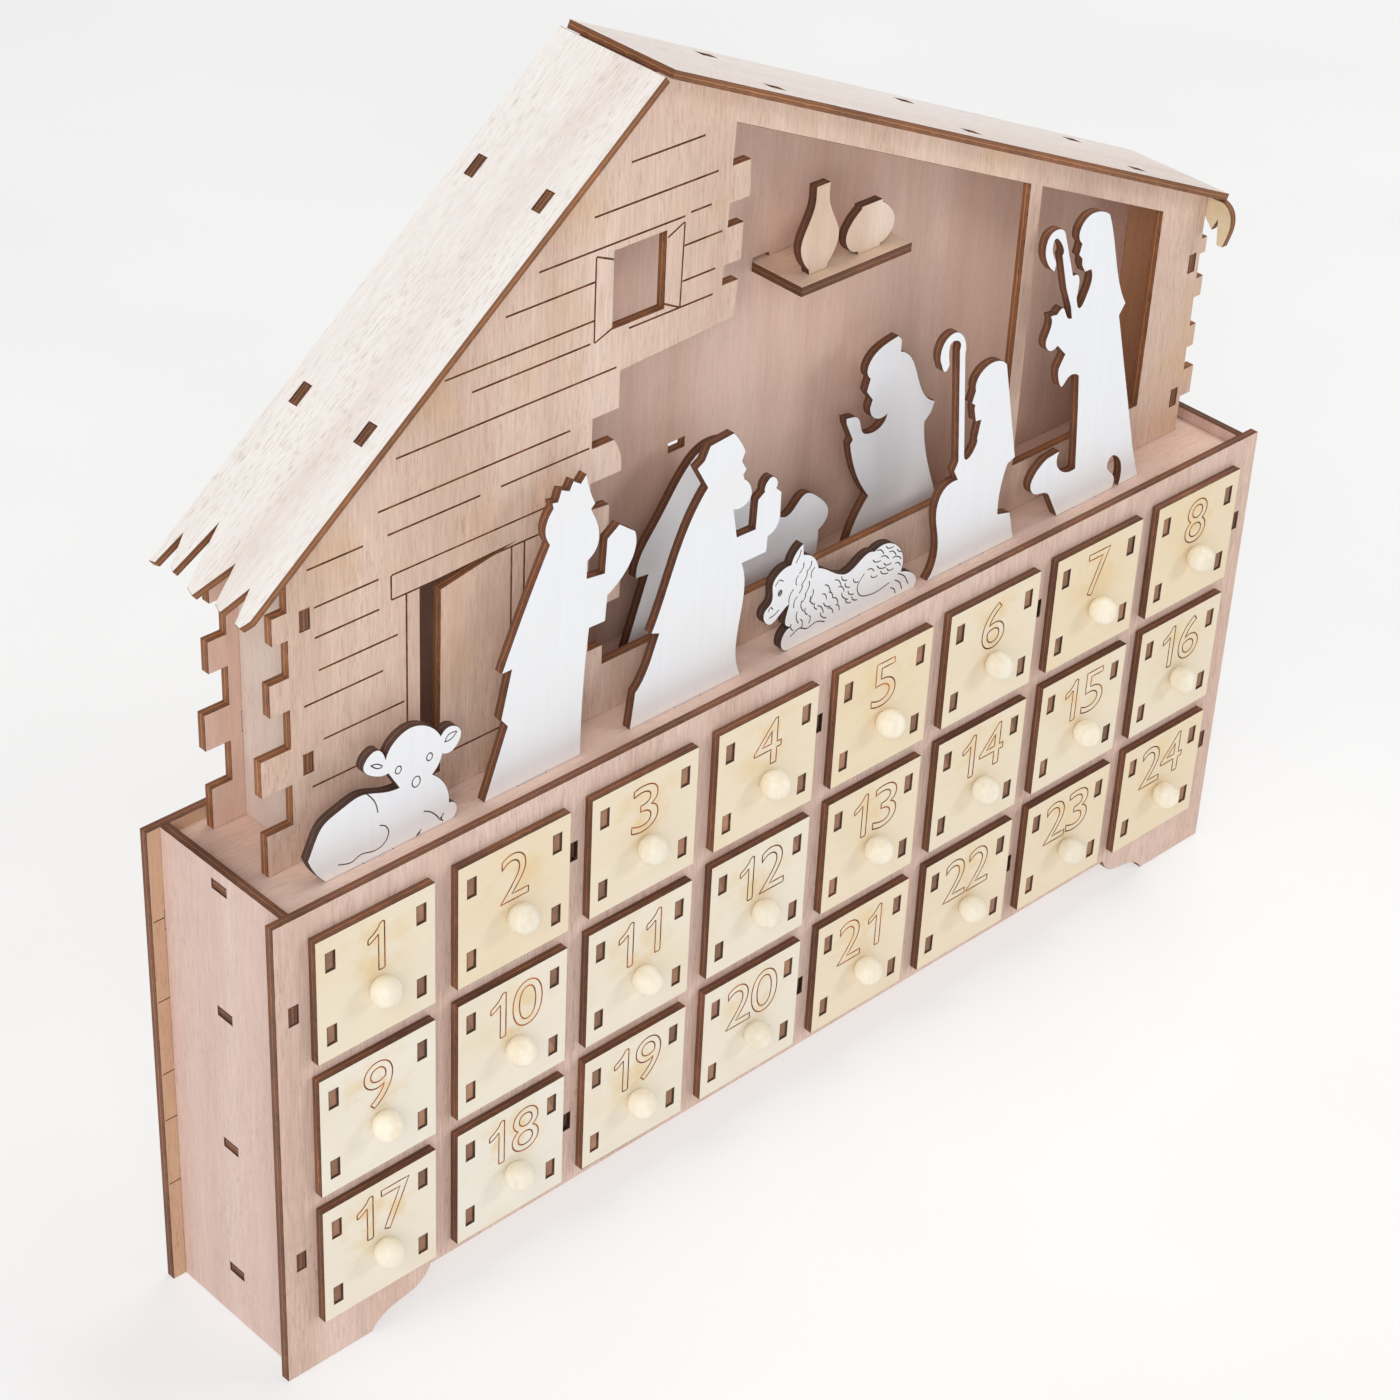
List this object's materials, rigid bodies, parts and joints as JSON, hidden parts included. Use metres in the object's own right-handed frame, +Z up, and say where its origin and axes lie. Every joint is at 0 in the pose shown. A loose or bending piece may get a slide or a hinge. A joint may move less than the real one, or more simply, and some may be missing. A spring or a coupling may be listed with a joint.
{
  "type": "wooden advent calendar",
  "caption": "Plywood drawer cabinet with numbered sliding drawers, topped by an open-front stable with a pitched roof and flat cut-out figures; a free-standing advent calendar.",
  "frame": {"origin": "middle of the bounding box on the standing surface", "axes": "+Z up, the drawer front faces -Y, +X to the right seen from the front"},
  "size_m": [0.4, 0.069, 0.3532],
  "materials": {
    "plywood": "raw, laser-browned edges",
    "white_painted_plywood": "matt white paint on the faces, laser-browned edges",
    "cream_drawer_wood": "pale cream, satin"
  },
  "bodies": {
    "cabinet": {"cabinet_front": "plywood", "cabinet_left_side": "plywood", "cabinet_right_side": "plywood", "cabinet_back": "plywood", "top_board": "plywood", "upper_drawer_shelf": "plywood", "lower_drawer_shelf": "plywood", "cabinet_floor": "plywood", "column_divider_left": "plywood", "column_divider_middle": "plywood", "column_divider_right": "plywood", "stable_front": "plywood", "stable_back": "plywood", "stable_left_wall": "plywood", "stable_right_wall": "plywood", "roof_left": "plywood", "roof_right": "plywood", "eave_fringe": "plywood", "wall_shelf": "plywood", "bottle_vase": "plywood", "round_pot": "plywood", "resting_lamb": "white_painted_plywood", "crowned_king": "white_painted_plywood", "gift_bearing_king": "white_painted_plywood", "woolly_sheep": "white_painted_plywood", "kneeling_shepherd": "white_painted_plywood", "standing_shepherd": "white_painted_plywood", "mother_at_manger": "white_painted_plywood", "praying_father": "white_painted_plywood"},
    "drawer_01": {"drawer_01": "cream_drawer_wood"},
    "drawer_02": {"drawer_02": "cream_drawer_wood"},
    "drawer_03": {"drawer_03": "cream_drawer_wood"},
    "drawer_04": {"drawer_04": "cream_drawer_wood"},
    "drawer_05": {"drawer_05": "cream_drawer_wood"},
    "drawer_06": {"drawer_06": "cream_drawer_wood"},
    "drawer_07": {"drawer_07": "cream_drawer_wood"},
    "drawer_08": {"drawer_08": "cream_drawer_wood"},
    "drawer_09": {"drawer_09": "cream_drawer_wood"},
    "drawer_10": {"drawer_10": "cream_drawer_wood"},
    "drawer_11": {"drawer_11": "cream_drawer_wood"},
    "drawer_12": {"drawer_12": "cream_drawer_wood"},
    "drawer_13": {"drawer_13": "cream_drawer_wood"},
    "drawer_14": {"drawer_14": "cream_drawer_wood"},
    "drawer_15": {"drawer_15": "cream_drawer_wood"},
    "drawer_16": {"drawer_16": "cream_drawer_wood"},
    "drawer_17": {"drawer_17": "cream_drawer_wood"},
    "drawer_18": {"drawer_18": "cream_drawer_wood"},
    "drawer_19": {"drawer_19": "cream_drawer_wood"},
    "drawer_20": {"drawer_20": "cream_drawer_wood"},
    "drawer_21": {"drawer_21": "cream_drawer_wood"},
    "drawer_22": {"drawer_22": "cream_drawer_wood"},
    "drawer_23": {"drawer_23": "cream_drawer_wood"},
    "drawer_24": {"drawer_24": "cream_drawer_wood"}
  },
  "joints": [
    {"name": "drawer_01_slide", "type": "slide", "parent": "cabinet", "child": "drawer_01", "axis": [0, -1, 0], "range_m": [0, 0.042]},
    {"name": "drawer_02_slide", "type": "slide", "parent": "cabinet", "child": "drawer_02", "axis": [0, -1, 0], "range_m": [0, 0.042]},
    {"name": "drawer_03_slide", "type": "slide", "parent": "cabinet", "child": "drawer_03", "axis": [0, -1, 0], "range_m": [0, 0.042]},
    {"name": "drawer_04_slide", "type": "slide", "parent": "cabinet", "child": "drawer_04", "axis": [0, -1, 0], "range_m": [0, 0.042]},
    {"name": "drawer_05_slide", "type": "slide", "parent": "cabinet", "child": "drawer_05", "axis": [0, -1, 0], "range_m": [0, 0.042]},
    {"name": "drawer_06_slide", "type": "slide", "parent": "cabinet", "child": "drawer_06", "axis": [0, -1, 0], "range_m": [0, 0.042]},
    {"name": "drawer_07_slide", "type": "slide", "parent": "cabinet", "child": "drawer_07", "axis": [0, -1, 0], "range_m": [0, 0.042]},
    {"name": "drawer_08_slide", "type": "slide", "parent": "cabinet", "child": "drawer_08", "axis": [0, -1, 0], "range_m": [0, 0.042]},
    {"name": "drawer_09_slide", "type": "slide", "parent": "cabinet", "child": "drawer_09", "axis": [0, -1, 0], "range_m": [0, 0.042]},
    {"name": "drawer_10_slide", "type": "slide", "parent": "cabinet", "child": "drawer_10", "axis": [0, -1, 0], "range_m": [0, 0.042]},
    {"name": "drawer_11_slide", "type": "slide", "parent": "cabinet", "child": "drawer_11", "axis": [0, -1, 0], "range_m": [0, 0.042]},
    {"name": "drawer_12_slide", "type": "slide", "parent": "cabinet", "child": "drawer_12", "axis": [0, -1, 0], "range_m": [0, 0.042]},
    {"name": "drawer_13_slide", "type": "slide", "parent": "cabinet", "child": "drawer_13", "axis": [0, -1, 0], "range_m": [0, 0.042]},
    {"name": "drawer_14_slide", "type": "slide", "parent": "cabinet", "child": "drawer_14", "axis": [0, -1, 0], "range_m": [0, 0.042]},
    {"name": "drawer_15_slide", "type": "slide", "parent": "cabinet", "child": "drawer_15", "axis": [0, -1, 0], "range_m": [0, 0.042]},
    {"name": "drawer_16_slide", "type": "slide", "parent": "cabinet", "child": "drawer_16", "axis": [0, -1, 0], "range_m": [0, 0.042]},
    {"name": "drawer_17_slide", "type": "slide", "parent": "cabinet", "child": "drawer_17", "axis": [0, -1, 0], "range_m": [0, 0.042]},
    {"name": "drawer_18_slide", "type": "slide", "parent": "cabinet", "child": "drawer_18", "axis": [0, -1, 0], "range_m": [0, 0.042]},
    {"name": "drawer_19_slide", "type": "slide", "parent": "cabinet", "child": "drawer_19", "axis": [0, -1, 0], "range_m": [0, 0.042]},
    {"name": "drawer_20_slide", "type": "slide", "parent": "cabinet", "child": "drawer_20", "axis": [0, -1, 0], "range_m": [0, 0.042]},
    {"name": "drawer_21_slide", "type": "slide", "parent": "cabinet", "child": "drawer_21", "axis": [0, -1, 0], "range_m": [0, 0.042]},
    {"name": "drawer_22_slide", "type": "slide", "parent": "cabinet", "child": "drawer_22", "axis": [0, -1, 0], "range_m": [0, 0.042]},
    {"name": "drawer_23_slide", "type": "slide", "parent": "cabinet", "child": "drawer_23", "axis": [0, -1, 0], "range_m": [0, 0.042]},
    {"name": "drawer_24_slide", "type": "slide", "parent": "cabinet", "child": "drawer_24", "axis": [0, -1, 0], "range_m": [0, 0.042]}
  ]
}
